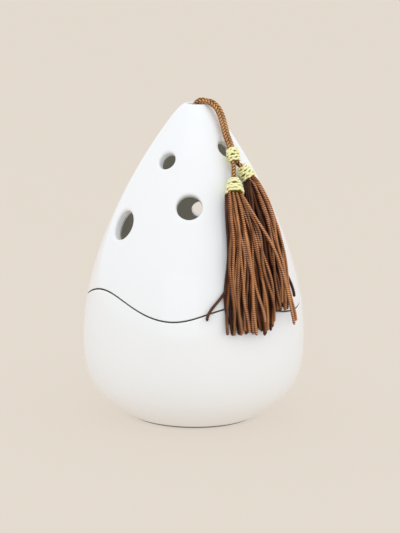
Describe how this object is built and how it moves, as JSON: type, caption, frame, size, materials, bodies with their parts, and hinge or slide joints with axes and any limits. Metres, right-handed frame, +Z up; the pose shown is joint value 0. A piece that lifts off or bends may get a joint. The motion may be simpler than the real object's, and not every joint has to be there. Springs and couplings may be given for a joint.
{
  "type": "egg-shaped ocarina",
  "caption": "Egg-shaped white porcelain ocarina that parts along a wavy joint, with playing holes, a blow hole at the tip and a braided cord with tassels.",
  "frame": {"origin": "on the ground under the middle of the foot ring", "axes": "+Z up along the body's axis, -Y towards the player-side finger holes, +X to their right"},
  "size_m": [0.09, 0.09, 0.1299],
  "materials": {
    "porcelain": "clear glossy white glaze",
    "copper_cord": "plaited copper-brown cord",
    "copper_strands": "twisted copper-brown thread",
    "gold_thread": "pale gold metallic thread"
  },
  "bodies": {
    "bowl": {"lower_shell": "porcelain"},
    "lid": {"upper_shell": "porcelain"},
    "cord_neck": {"stopper_knot": "copper_cord", "cord_neck": "copper_cord"},
    "cord_drop": {"cord_drop": "copper_cord", "collar_wrap": "gold_thread"},
    "left_tassel": {"left_branch_cord": "copper_cord", "left_tassel_cap": "gold_thread", "left_tassel_core": "copper_strands", "left_strand_01": "copper_strands", "left_strand_02": "copper_strands", "left_strand_03": "copper_strands", "left_strand_04": "copper_strands", "left_strand_05": "copper_strands", "left_strand_06": "copper_strands", "left_strand_07": "copper_strands", "left_strand_08": "copper_strands", "left_strand_09": "copper_strands", "left_strand_10": "copper_strands", "left_strand_11": "copper_strands", "left_strand_12": "copper_strands", "left_strand_13": "copper_strands"},
    "right_tassel": {"right_branch_cord": "copper_cord", "right_tassel_cap": "gold_thread", "right_tassel_core": "copper_strands", "right_strand_01": "copper_strands", "right_strand_02": "copper_strands", "right_strand_03": "copper_strands", "right_strand_04": "copper_strands", "right_strand_05": "copper_strands", "right_strand_06": "copper_strands", "right_strand_07": "copper_strands", "right_strand_08": "copper_strands", "right_strand_09": "copper_strands", "right_strand_10": "copper_strands"}
  },
  "joints": [
    {"name": "lid_lift", "type": "slide", "parent": "bowl", "child": "lid", "axis": [0, 0, 1], "range_m": [0, 0.09]},
    {"name": "cord_swivel", "type": "hinge", "parent": "lid", "child": "cord_neck", "pos_m": [0, 0, 0.1273], "axis": [0, 0, 1], "continuous": true},
    {"name": "cord_lift", "type": "hinge", "parent": "cord_neck", "child": "cord_drop", "pos_m": [0.00625, -0.00357, 0.12989], "axis": [-0.5736, -0.8192, 0], "range_deg": [0, 95]},
    {"name": "left_tassel_swing", "type": "hinge", "parent": "cord_drop", "child": "left_tassel", "pos_m": [0.01491, -0.01994, 0.10562], "axis": [-0.829, -0.5592, 0], "range_deg": [0, 75]},
    {"name": "right_tassel_swing", "type": "hinge", "parent": "cord_drop", "child": "right_tassel", "pos_m": [0.01682, -0.01833, 0.10562], "axis": [-0.6691, -0.7431, 0], "range_deg": [0, 70]}
  ]
}
